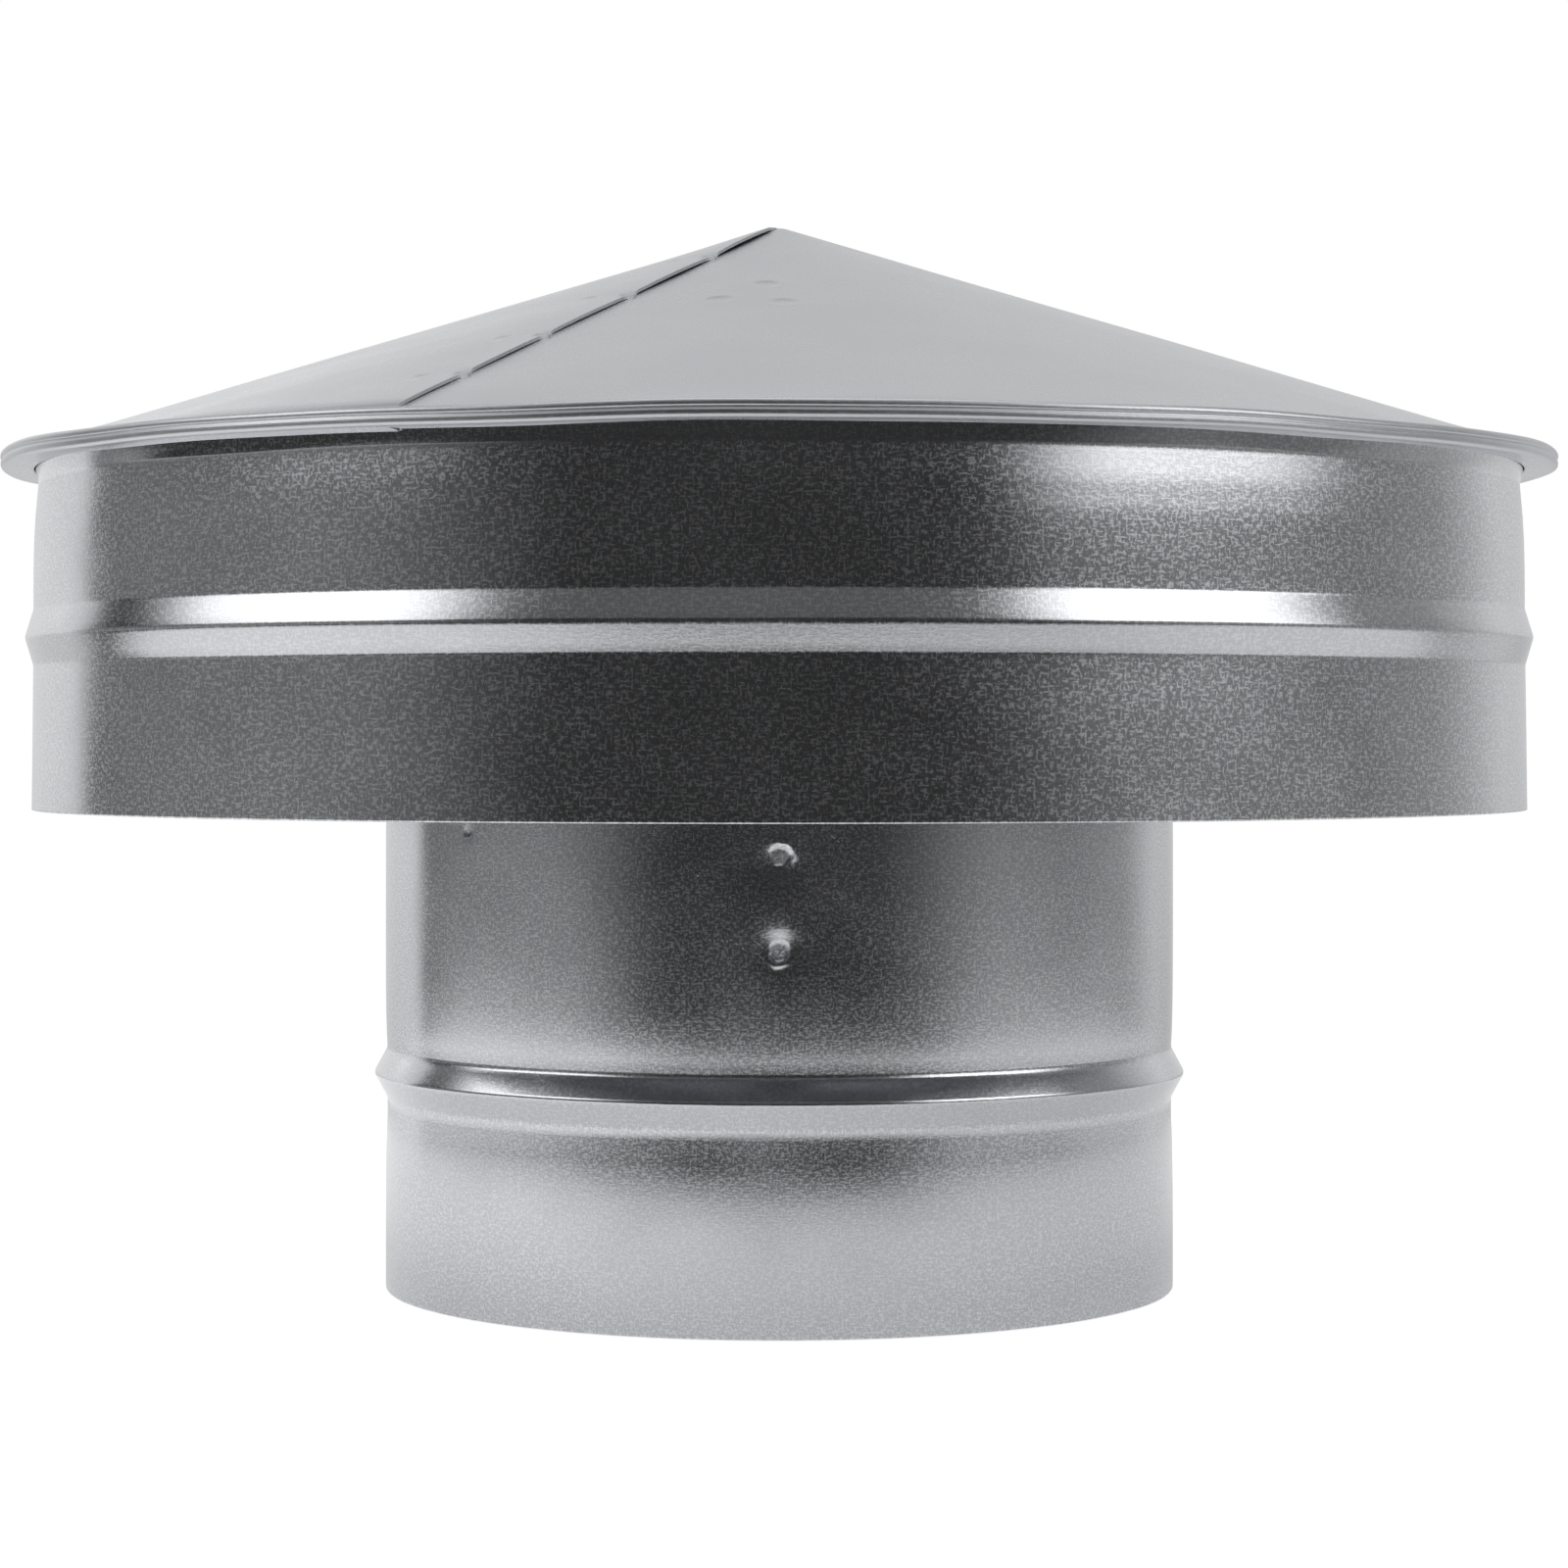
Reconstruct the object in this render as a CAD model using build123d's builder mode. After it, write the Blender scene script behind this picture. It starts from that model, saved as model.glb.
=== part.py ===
from build123d import *
import os
from math import asin, atan, cos, degrees, radians, sin

# Roof vent cap for a round duct, in thin galvanised sheet.
# A rolled collar goes into the duct, and three straps welded inside it carry a shallow conical roof.
# A wind band hangs from the roof: its flange is clamped in the hem along the roof's rim.
# The origin is the centre of the collar's bottom rim, +Z runs up the duct's axis, and the front is -Y.
# Azimuths are in degrees from the front, positive towards +X. Lengths are in millimetres.

# Sheet thickness, and the flat facets that a right-angle corner and a folded hem are drawn with
sheet = 0.6
corner_facets = 1
hem_facets = 2

# Spigot collar
collar_diameter = 159.5
collar_height = 130.0
collar_bead_height = 43.3
collar_bead_width = 10.0
collar_bead_rise = 2.15

# Wind band: outside diameters, lengths down from the flange, then the flare and corner that end in the flange
band_bottom = 96.4
band_height = 69.0
band_diameter = 299.0
band_neck_diameter = 296.4
band_draw_length = 17.5
band_neck_length = 3.4
band_bead_drop = 35.1
band_bead_width = 11.0
band_bead_rise = 1.5
band_flare = 0.5
band_corner = 1.0
flange_flat = 4.8

# Roof cone
roof_rise = 47.9
roof_foot_overhang = 2.1
hem_clearance = 0.3
hem_corner_gap = 0.2

# Lap seams: the roof's on the front left, the collar's and the band's behind
lap_width = 14.0
roof_seam_azimuth = -25.6
back_seam_azimuth = 180.0
roof_lap_tip_radius = 6.0
roof_lap_foot_gap = 2.0
roof_lap_ramp = 50.0
roof_lap_feather = 0.05
roof_lap_steps = 5

# Straps
strap_width = 30.0
strap_thickness = 1.0
strap_foot_height = 62.0
strap_tab = 30.0
strap_azimuths = {"strap_front": 0.0, "strap_right": 120.0, "strap_left": 240.0}

# Places that follow from those sizes
collar_radius = collar_diameter / 2
collar_bore_radius = collar_radius - sheet
band_radius = band_diameter / 2
neck_radius = band_neck_diameter / 2
flange_level = band_bottom + band_height
neck_level = flange_level - band_neck_length
corner_radius = neck_radius + band_flare + band_corner
flange_radius = corner_radius + flange_flat
shoulder_level = flange_level - band_draw_length
fold_radius = 1.5 * sheet
fold_center = (flange_radius + hem_clearance, flange_level + sheet / 2)
return_level = fold_center[1] - fold_radius
return_radius = corner_radius + hem_corner_gap
brim_level = fold_center[1] + fold_radius
foot_radius = neck_radius + roof_foot_overhang
apex_level = brim_level + roof_rise
roof_slope = degrees(atan(roof_rise / foot_radius))
roof_lap_foot_radius = foot_radius - roof_lap_foot_gap


def radial_plane(azimuth):
    """Plane through the duct's axis: local x is the radius at that azimuth, local y is the height."""
    across = sin(radians(azimuth))
    ahead = cos(radians(azimuth))
    return Plane(origin=(0, 0, 0), x_dir=(across, -ahead, 0), z_dir=(-ahead, -across, 0))


def bead_points(radius, level, width, rise):
    """Foot, crest and foot of a V bead rolled into a wall of that radius."""
    return [(radius, level - width / 2), (radius + rise, level), (radius, level + width / 2)]


def folded_sheet(points, thickness):
    """Closed outline of a folded sheet: a path along one skin, and mitred corners of the skin to its left."""
    path = [Vector(*point) for point in points]
    runs = [(end - start).normalized() for start, end in zip(path, path[1:])]
    sides = [Vector(-run.Y, run.X) for run in runs]
    mitres = [(one + other) / (1 + one.dot(other)) for one, other in zip(sides, sides[1:])]
    shifts = [sides[0], *mitres, sides[-1]]
    other_skin = [point + shift * thickness for point, shift in zip(path, shifts)]
    return Polyline(*path, *reversed(other_skin), close=True)


def bend_points(center, radius, start, turn, facets):
    """Corners of a bend round a center, from a start angle on, drawn as a few flat facets."""
    angles = [radians(start + turn * corner / facets) for corner in range(facets + 1)]
    return [(center[0] + radius * cos(angle), center[1] + radius * sin(angle)) for angle in angles]


def lap_angle(radius):
    """Angle that a lap seam covers on a wall of that radius."""
    return degrees(lap_width / radius)


# Spigot collar: a rolled wall with a V bead, and a second layer inside along its lap seam
collar_path = [
    (collar_radius, 0),
    *bead_points(collar_radius, collar_bead_height, collar_bead_width, collar_bead_rise),
    (collar_radius, collar_height),
]
collar_lap = lap_angle(collar_radius)

with BuildPart() as collar:
    with BuildSketch(radial_plane(back_seam_azimuth + collar_lap / 2)):
        with BuildLine():
            folded_sheet(collar_path, sheet)
        make_face()
    revolve(axis=Axis.Z, revolution_arc=360 - collar_lap)
    with BuildSketch(radial_plane(back_seam_azimuth - collar_lap / 2)):
        with BuildLine():
            folded_sheet(collar_path, 2 * sheet)
        make_face()
    revolve(axis=Axis.Z, revolution_arc=collar_lap)
collar.part.label = "spigot_collar"

# Wind band: a rolled wall with a V bead, drawn in to a neck, flared and turned out into a flange
band_wall = [
    (band_radius, band_bottom),
    *bead_points(band_radius, flange_level - band_bead_drop, band_bead_width, band_bead_rise),
    (band_radius, shoulder_level),
]
band_corner_center = (corner_radius, flange_level - band_corner)
band_flange = [
    (neck_radius, neck_level),
    *bend_points(band_corner_center, band_corner, 180, -90, corner_facets),
    (flange_radius, flange_level),
]
band_lap = lap_angle(band_radius)

with BuildPart() as band:
    with BuildSketch(radial_plane(back_seam_azimuth)):
        with BuildLine():
            folded_sheet([*band_wall, *band_flange], sheet)
        make_face()
    revolve(axis=Axis.Z)
    # The lap's inner layer stops at the shoulder, so that the flange lies flat in the hem
    with BuildSketch(radial_plane(back_seam_azimuth - band_lap / 2)):
        with BuildLine():
            folded_sheet(band_wall, 2 * sheet)
        make_face()
    revolve(axis=Axis.Z, revolution_arc=band_lap)
band.part.label = "wind_band"


# Roof cone: one sheet from the tip to the brim, whose edge is folded under the band's flange.
# Along its lap seam the sheet's top end climbs onto the other end, and fades back to round along a ramp.
def roof_point(radius, lift):
    """Point of the roof's section at a radius, lifted off its outer skin along the normal."""
    slope = radians(roof_slope)
    level = apex_level - radius * roof_rise / foot_radius
    return (radius + lift * sin(slope), level + lift * cos(slope))


def ramp_plane(step):
    """Radial plane of one step along the ramp, from the cut edge on."""
    return radial_plane(roof_seam_azimuth - roof_lap_ramp * step / roof_lap_steps)


def ramp_lift(step):
    """Height that the top end has climbed there: a full sheet at its cut edge, a feather edge at last."""
    return sheet + (roof_lap_feather - sheet) * step / roof_lap_steps


def ramp_strip(low, high):
    """Strip along the roof's section, between two heights off its outer skin."""
    return Polyline(
        roof_point(roof_lap_tip_radius, low),
        roof_point(roof_lap_foot_radius, low),
        roof_point(roof_lap_foot_radius, high),
        roof_point(roof_lap_tip_radius, high),
        close=True,
    )


# Room under the climbing end, which starts at the cut edge of the end that lies below it
with BuildPart() as lap_room:
    for step in range(roof_lap_steps + 1):
        with BuildSketch(ramp_plane(step)):
            with BuildLine():
                ramp_strip(-2 * sheet, ramp_lift(step) - sheet)
            make_face()
    loft()
    with BuildSketch(Plane.XY.rotated((0, 0, roof_seam_azimuth))):
        Rectangle(2 * lap_width, 2 * foot_radius)
    extrude(amount=apex_level, mode=Mode.SUBTRACT)

roof_path = [
    (return_radius, return_level),
    *bend_points(fold_center, fold_radius, -90, 180, hem_facets),
    (foot_radius, brim_level),
    (0, apex_level),
]

with BuildPart() as roof:
    with BuildSketch(radial_plane(roof_seam_azimuth)):
        with BuildLine():
            folded_sheet(roof_path, sheet)
        make_face()
        split(bisect_by=Plane.YZ)
    revolve(axis=Axis.Z)
    for step in range(roof_lap_steps + 1):
        with BuildSketch(ramp_plane(step)):
            with BuildLine():
                ramp_strip(-sheet / 2, ramp_lift(step))
            make_face()
    loft()
    add(lap_room.part, mode=Mode.SUBTRACT)
roof.part.label = "roof_cone"

# Straps: each lies against the collar's wall, rises to the roof and bends in along its underside
underside_drop = sheet / cos(radians(roof_slope))
strap_corner_level = roof_point(collar_bore_radius, 0)[1] - underside_drop
tab_end_radius = collar_bore_radius - strap_tab * cos(radians(roof_slope))
tab_end_level = strap_corner_level + strap_tab * sin(radians(roof_slope))
strap_sector = 4 * degrees(asin(strap_width / 2 / tab_end_radius))
strap_path = [
    (collar_bore_radius, strap_foot_height),
    (collar_bore_radius, strap_corner_level),
    (tab_end_radius, tab_end_level),
]
straps = []

for strap_name, strap_azimuth in strap_azimuths.items():
    with BuildPart() as strap:
        with BuildSketch(radial_plane(strap_azimuth - strap_sector / 2)):
            with BuildLine():
                folded_sheet(strap_path, strap_thickness)
            make_face()
        revolve(axis=Axis.Z, revolution_arc=strap_sector)
        with BuildSketch(Plane.XY.rotated((0, 0, strap_azimuth))):
            Rectangle(strap_width, collar_diameter)
        extrude(amount=apex_level, mode=Mode.INTERSECT)
    strap.part.label = strap_name
    straps.append(strap.part)

os.makedirs("parts", exist_ok=True)
for piece in [collar.part, band.part, roof.part, *straps]:
    export_step(piece, f"parts/{piece.label}.step")
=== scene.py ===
import math
from collections import namedtuple

import bpy
import numpy as np
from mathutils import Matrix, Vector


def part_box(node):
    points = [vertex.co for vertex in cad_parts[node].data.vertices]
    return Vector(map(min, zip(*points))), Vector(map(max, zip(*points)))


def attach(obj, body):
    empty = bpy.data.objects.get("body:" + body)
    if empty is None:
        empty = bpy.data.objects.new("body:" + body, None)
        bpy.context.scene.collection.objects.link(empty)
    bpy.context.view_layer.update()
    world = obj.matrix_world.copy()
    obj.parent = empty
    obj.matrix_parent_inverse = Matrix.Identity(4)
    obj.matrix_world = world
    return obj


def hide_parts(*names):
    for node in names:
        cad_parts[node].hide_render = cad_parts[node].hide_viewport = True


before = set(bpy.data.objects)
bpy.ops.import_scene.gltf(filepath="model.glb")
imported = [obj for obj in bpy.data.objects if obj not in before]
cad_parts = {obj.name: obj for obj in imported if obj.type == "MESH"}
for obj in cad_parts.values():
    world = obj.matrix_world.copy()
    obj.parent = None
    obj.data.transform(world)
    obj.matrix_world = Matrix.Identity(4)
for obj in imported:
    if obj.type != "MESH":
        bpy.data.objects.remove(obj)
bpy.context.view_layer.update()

# Galvanised roof vent cap, on a pale floor in a soft studio.
# Lengths are in millimetres, and azimuths in degrees from the front (-Y), positive towards +X.
# Each piece is a bent sheet: the rows of its section are swept through columns of azimuths.
# A lift moves its points off the skin. A mark says where it is worn (above 0) or burnished (below 0).

MM = 0.001


def node_box(node):
    """Corners of a CAD node in millimetres."""
    low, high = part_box(node)
    return low / MM, high / MM


_, collar_high = node_box("spigot_collar")
band_low, band_high = node_box("wind_band")
roof_low, roof_high = node_box("roof_cone")
strap_low, strap_high = node_box("strap_front")

# Sheet and seams: a lapped end steps aside by one sheet and a hair
SHEET = 0.6
STRAP_SHEET = 1.0
STEP_ASIDE = 1.05 * SHEET
LAP = 14.0
JOGGLE = 5.0
JOGGLE_START = 0.05
BACK_SEAM = 180.0

# Slight unevenness of the sheets
COLLAR_WAVES = {"seed": 3, "height": 0.05}
BAND_WAVES = {"seed": 8, "height": 0.07}
ROOF_WAVES = {"seed": 5, "height": 0.07}

# Rolled beads: the wall keeps a slight waist beside them, and their rolls smooth the grain
BEAD_ROUND = 1.6
BEAD_FOOT_ROUND = 2.0
BEAD_SHELF = 3.0
PULL_LENGTH = 5.5
BEAD_BURNISH = 0.12
BURNISH_INSIDE = 0.6
BURNISH_OUTSIDE = 0.4

# Collar
COLLAR_RISE = 2.15
COLLAR_RADIUS = collar_high.x - COLLAR_RISE
COLLAR_HEIGHT = collar_high.z
COLLAR_BEAD = 43.3
COLLAR_BEAD_WIDTH = 10.0
COLLAR_PULL = 0.40
ROUNDING_LOSS = 0.15

# Band
BAND_BOTTOM = band_low.z
FLANGE_LEVEL = band_high.z - SHEET
FLANGE_RADIUS = band_high.x
MOUTH_RADIUS = FLANGE_RADIUS - 4.75
SHOULDER_RADIUS = FLANGE_RADIUS - 5.4
NECK_RADIUS = FLANGE_RADIUS - 6.3
SHOULDER_LEVEL = FLANGE_LEVEL - 13.5
NECK_LEVEL = FLANGE_LEVEL - 5.1
SHOULDER_ROUND = 160.0
NECK_ROUND = 3.0
FLARE = 1.06
CORNER_ROUND = 1.0
BAND_BEAD = FLANGE_LEVEL - 35.1
BAND_BEAD_WIDTH = 11.0
BAND_RISE = 1.6
BAND_PULL = 0.06
BAND_LINE_DROP = 3.5
BAND_LINE_WIDTH = 0.7
BAND_LINE_HEIGHT = 0.03
NECK_BURNISH = 0.45

# Roof: the hem's shares are where its upper ridge ends, its groove lies and its lower ridge starts
APEX_LEVEL = roof_high.z
RETURN_LEVEL = roof_low.z
RIM_RADIUS = roof_high.x
BRIM_LEVEL = RETURN_LEVEL + 3 * SHEET
FOOT_RADIUS = RIM_RADIUS - 5.4
RETURN_RADIUS = NECK_RADIUS + 0.97
SLOPE = math.atan((APEX_LEVEL - BRIM_LEVEL) / FOOT_RADIUS)
SLANT = 1.0 / math.cos(SLOPE)
TIP_ROUND = 6.0
TIP_START = 0.03
FOOT_ROUND = 1.5
HEM_HEIGHT = 3.3
HEM_SHARES = (0.36, 0.46, 0.60)
HEM_GROOVE = 0.45
HEM_SETBACK = 0.05
FOLD_ROUND = 0.45
GROOVE_ROUND = 0.15
RIM_WEAR = 0.5
RIM_WAVES = ((0.15, 5, 0.8), (0.11, 11, 2.1), (0.06, 19, 4.0))

# Roof's lap seam: the radii of its spot welds, and how far its edge stands off before, between and after them
ROOF_SEAM = -25.6
SEAM_END = 360.0 + ROOF_SEAM
ROOF_RAMP = 50.0
SEAM_WELDS = (30.5, 65.0, 98.0, 127.0)
SEAM_GAPS = (0.45, 0.32, 0.18, 0.16, 0.12)
SEAM_GAP_REACH = 7.0
SEAM_REACH = 90.0
KNOT_DIP = 0.22
KNOT_BUMP = 0.35
KNOT_SQUASH = 0.9

# Straps
STRAP_AZIMUTHS = {"strap_front": 0.0, "strap_right": 120.0, "strap_left": 240.0}
STRAP_WIDTH = strap_high.x - strap_low.x
STRAP_FOOT = strap_low.z
STRAP_TAB = 30.0
STRAP_BEND = 4.0
STRAP_AIR = 0.02

# Spot welds on the collar: level, height of the dish over the pad, and the side to which the lip is pushed
Weld = namedtuple("Weld", "level shift lip_turn")
WELDS = (Weld(88.8, -2.0, 45.0), Weld(71.3, 0.4, -90.0))
TACK = Weld(92.5, 0.0, -90.0)
TACK_AZIMUTH = -48.0
TACK_SIZE = 0.4
WELD_RADIUS = 2.3
PAD_SHARE = 0.85
PAD_WAVES = ((0.04, 2, 1.0), (0.03, 3, 0.6), (0.02, 7, 2.0))
PAD_SINK = 0.10
PAD_CRUMBS = 0.045
DISH_DEPTH = 0.54
DISH_RADIUS = 3.5
LIP_HEIGHT = 0.24
LIP_REACH = 1.32
LIP_WIDTH = 0.65
STRAP_DENT = 0.38

# Spot welds that press through the roof over each strap: azimuth from the strap's, and radius
ROOF_WELDS = ((-9.4, 69.0), (-2.5, 56.0), (0.6, 72.0))
ROOF_DENT_RADIUS = 3.0
ROOF_DENT = 0.17
ROOF_DENT_LIP = 0.04

# Spacing of the meshes' rows and columns
ARC_STEP = math.radians(14)
SAME_POINT = 1e-4
ROW_GAP = 0.05
COLUMN_GAP = 0.02
RIM_ROWS = np.array((0.1, 0.4))
RIM_ANGLES = np.radians((30, 60, 90, 120, 150))
SHARP_ANGLE = math.radians(40)
COLLAR_ROW_STEP = 4.0
BAND_ROW_STEP = 3.0
WALL_TURN_STEP = 1.6
MARK_ROWS = 4.5
MARK_ROW_STEP = 0.3
MARK_REACH = 3.4
FRONT_MARK_STEP = 0.2
SIDE_MARK_STEP = 0.6
TACK_STEP = 0.5
ROOF_ROW_STEP = 4.0
ROOF_TURN_STEP = 2.0
DENT_ROW_STEP = 1.0
KNOT_ROWS = 3.5
KNOT_ROW_STEP = 0.8
STRAP_ROW_STEP = 3.0
STRAP_COLUMN_STEP = 2.5
STRAP_MARK_REACH = 4.0
STRAP_MARK_STEP = 0.5


def smooth(low, high, value):
    """Smooth step from 0 at low to 1 at high."""
    share = np.clip((value - low) / (high - low), 0.0, 1.0)
    return share * share * (3.0 - 2.0 * share)


def hump(distance, width):
    """Smooth hump, 1 in its middle."""
    return np.exp(-((distance / width) ** 2))


def waves(angle, terms):
    """Sum of waves round a full turn, from their heights, counts and phases."""
    return sum(height * np.sin(count * angle + phase) for height, count, phase in terms)


def half_turn(angle):
    """The same angle, within half a turn of the front."""
    return (angle + 180.0) % 360.0 - 180.0


def spaced(values, low, high, gap):
    """Sorted values from a lower to an upper limit, without those that lie too close together."""
    values = np.sort(np.concatenate(values))
    values = values[(values >= low) & (values <= high)]
    values = values[np.concatenate([[True], np.diff(values) > gap])]
    values[-1] = high
    return values


def spread(start, end, step, zones):
    """Values from start to end, closer together in (low, high, step) zones."""
    values = [np.arange(start, end, step), [start, end]]
    values += [np.arange(low, high, fine) for low, high, fine in zones]
    return spaced(values, start, end, COLUMN_GAP)


class Section:
    """Rows along the skin of a bent sheet, with the normal that points out of that skin."""

    def __init__(self, corners, thickness, side, step, zones=()):
        base = self.rounded(corners)
        run = np.concatenate([[0.0], np.cumsum(np.linalg.norm(np.diff(base, axis=0), axis=1))])
        tangent = np.gradient(base, run, axis=0)
        tangent /= np.linalg.norm(tangent, axis=1)[:, None]
        low, high = thickness / 2, run[-1] - thickness / 2
        stops = [run, np.arange(low, high, step), [low, high], low + RIM_ROWS, high - RIM_ROWS]
        stops += [np.arange(first, last, fine) for first, last, fine in zones]
        self.run = spaced(stops, low, high, ROW_GAP)
        self.radius = np.interp(self.run, run, base[:, 0])
        self.level = np.interp(self.run, run, base[:, 1])
        along = np.stack([np.interp(self.run, run, tangent[:, axis]) for axis in (0, 1)], 1)
        self.along = along / np.linalg.norm(along, axis=1)[:, None]
        self.out = side * np.stack([self.along[:, 1], -self.along[:, 0]], 1)
        self.side = side
        self.thickness = thickness

    @staticmethod
    def rounded(corners):
        """Path through (radius, level, bend radius) corners, with the bends as fine arcs."""
        path = [np.array(corners[0][:2])]
        for before, corner, after in zip(corners, corners[1:], corners[2:]):
            here = np.array(corner[:2])
            back = np.array(before[:2]) - here
            ahead = np.array(after[:2]) - here
            back /= np.linalg.norm(back)
            ahead /= np.linalg.norm(ahead)
            half = math.acos(np.clip(back @ ahead, -1.0, 1.0)) / 2
            middle = (back + ahead) / np.linalg.norm(back + ahead)
            center = here + middle * corner[2] / math.sin(half)
            across, up = here + back * corner[2] / math.tan(half) - center
            turn = math.pi - 2 * half
            sense = np.sign(ahead[0] * back[1] - ahead[1] * back[0])
            count = max(3, math.ceil(turn / ARC_STEP))
            for angle in np.linspace(0.0, sense * turn, count + 1):
                c, s = math.cos(angle), math.sin(angle)
                path.append(center + np.array([c * across - s * up, s * across + c * up]))
        path.append(np.array(corners[-1][:2]))
        kept = [path[0]]
        for point in path[1:]:
            if np.linalg.norm(point - kept[-1]) > SAME_POINT:
                kept.append(point)
        return np.array(kept)


# Unevenness, weld marks and traces of the rolls
def ripple(section, azimuth, seed, height, count=9, most_around=16, steepest=0.09):
    """Slight unevenness of a rolled sheet, as a sum of long waves."""
    rng = np.random.default_rng(seed)
    total = np.zeros_like(azimuth)
    for _ in range(count):
        around = rng.integers(2, most_around + 1)
        along = rng.uniform(-steepest, steepest)
        phase = rng.uniform(0.0, 2 * math.pi)
        total += np.sin(np.radians(azimuth) * around + section.run[:, None] * along + phase)
    return total * height / math.sqrt(count)


def dent(distance, radius, depth, lip):
    """Round press mark of a spot weld: a flat-bottomed dimple with a slightly raised lip."""
    pit = 1.0 - smooth(0.45 * radius, radius, distance)
    ring = hump(distance - 1.15 * radius, 0.28 * radius)
    return lip * ring - depth * pit


def weld_mark(across, up, size, shift, lip_turn):
    """Mark of a spot weld in a wall: a dish, a rough pad sunk in it, and a lip pushed up to one side."""
    across = across / size
    up = up / size
    distance = np.hypot(across, up)
    angle = np.arctan2(up, across)
    pad = WELD_RADIUS * (PAD_SHARE + waves(angle, PAD_WAVES))
    on_pad = 1.0 - smooth(0.75 * pad, pad, distance)
    crumbs = np.sin(8.1 * across + 2.3 * up) * np.sin(7.3 * up - 3.2 * across + 1.0)
    crumbs += 0.7 * np.sin(11.3 * across - 5.1 * up + 0.4) * np.sin(10.1 * up + 4.7 * across)
    dish = -DISH_DEPTH * hump(np.hypot(across, up - shift), DISH_RADIUS)
    sunk = -DISH_DEPTH * hump(shift, DISH_RADIUS) - PAD_SINK
    facing = (0.5 + 0.5 * np.cos(angle - math.radians(lip_turn))) ** 3
    lip = LIP_HEIGHT * facing * hump(distance - LIP_REACH * pad, LIP_WIDTH)
    lift = (dish + lip) * (1.0 - on_pad) + (sunk + PAD_CRUMBS * crumbs) * on_pad
    return size * lift, on_pad


def pull_in(section, level, half, depth):
    """Slight waist that a bead leaves in the wall, from its upper foot and from a shelf below it."""
    above = section.level - level - half
    below = level - half - BEAD_SHELF - section.level
    away = np.maximum(np.maximum(above, below), 0.0)
    return -depth * np.exp(-away / PULL_LENGTH)[:, None]


def bead_burnish(section, level, half):
    """Mark of a bead, where the rolls smooth the grain."""
    away = np.abs(section.level - level)
    return -BEAD_BURNISH * (1.0 - smooth(half - BURNISH_INSIDE, half + BURNISH_OUTSIDE, away))[:, None]


def rim_wave(azimuth):
    """Slight ups and downs that the seaming rolls leave along the hemmed rim."""
    return waves(np.radians(azimuth), RIM_WAVES)


# Closed meshes of the bent sheets
def chart(across, along):
    """Flat chart of a sheet, along which its grain runs."""
    return np.stack(np.broadcast_arrays(across, along), -1)


def skin_loop(section):
    """Rows once round a section: along its skin, round a rim, back along the other skin, round a rim."""
    half = section.thickness / 2
    count = len(section.run)
    rims = len(RIM_ANGLES)
    forth = np.arange(count)
    rows = np.concatenate([forth, np.full(rims, count - 1), forth[::-1], np.zeros(rims, int)])
    cosine = np.cos(RIM_ANGLES)
    bulge = half * (np.sign(cosine) * np.sqrt(np.abs(cosine)) - 1.0)
    reach = half * np.sqrt(np.sin(RIM_ANGLES))
    still = np.zeros(count)
    offset = np.concatenate([still, bulge, still - section.thickness, bulge[::-1]])[:, None]
    run_on = np.concatenate([still, reach, still, -reach])[:, None]
    return rows, offset, run_on


def end_caps(ends, count, flip):
    """Faces that close a sheet's cut end, from the loop of points along it."""
    rims = len(RIM_ANGLES)
    skin = ends[:count]
    far_rim = ends[count : count + rims]
    under = ends[count + rims : 2 * count + rims][::-1]
    near_rim = ends[2 * count + rims :]
    caps = [[skin[i], skin[i + 1], under[i + 1], under[i]] for i in range(count - 1)]
    caps.append([skin[-1], *far_rim, under[-1]])
    caps.append([under[0], *near_rim, skin[0]])
    return [[int(point) for point in (cap[::-1] if flip else cap)] for cap in caps]


def sheet_faces(loop, columns, section):
    """Faces round the loop of rows from column to column, and at both cut ends."""
    index = np.arange(loop * columns).reshape(loop, columns)
    after = np.roll(index, -1, axis=0)
    quads = np.stack([index[:, :-1], index[:, 1:], after[:, 1:], after[:, :-1]], -1).reshape(-1, 4)
    if section.side < 0:
        quads = quads[:, ::-1]
    faces = quads.tolist()
    faces += end_caps(index[:, 0], len(section.run), section.side < 0)
    faces += end_caps(index[:, -1], len(section.run), section.side > 0)
    return faces


def sheet_points(section, azimuth, lift, heave):
    """Points of the loop of rows on every column, in metres."""
    rows, offset, run_on = skin_loop(section)
    out = section.out[rows]
    along = section.along[rows]
    lifted = lift[rows] + offset
    radius = section.radius[rows][:, None] + out[:, :1] * lifted + along[:, :1] * run_on
    level = section.level[rows][:, None] + out[:, 1:] * lifted + along[:, 1:] * run_on
    level = level + np.broadcast_to(heave, azimuth.shape)[rows]
    angle = np.radians(azimuth[rows])
    return rows, MM * np.stack([radius * np.sin(angle), -radius * np.cos(angle), level], -1)


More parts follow.
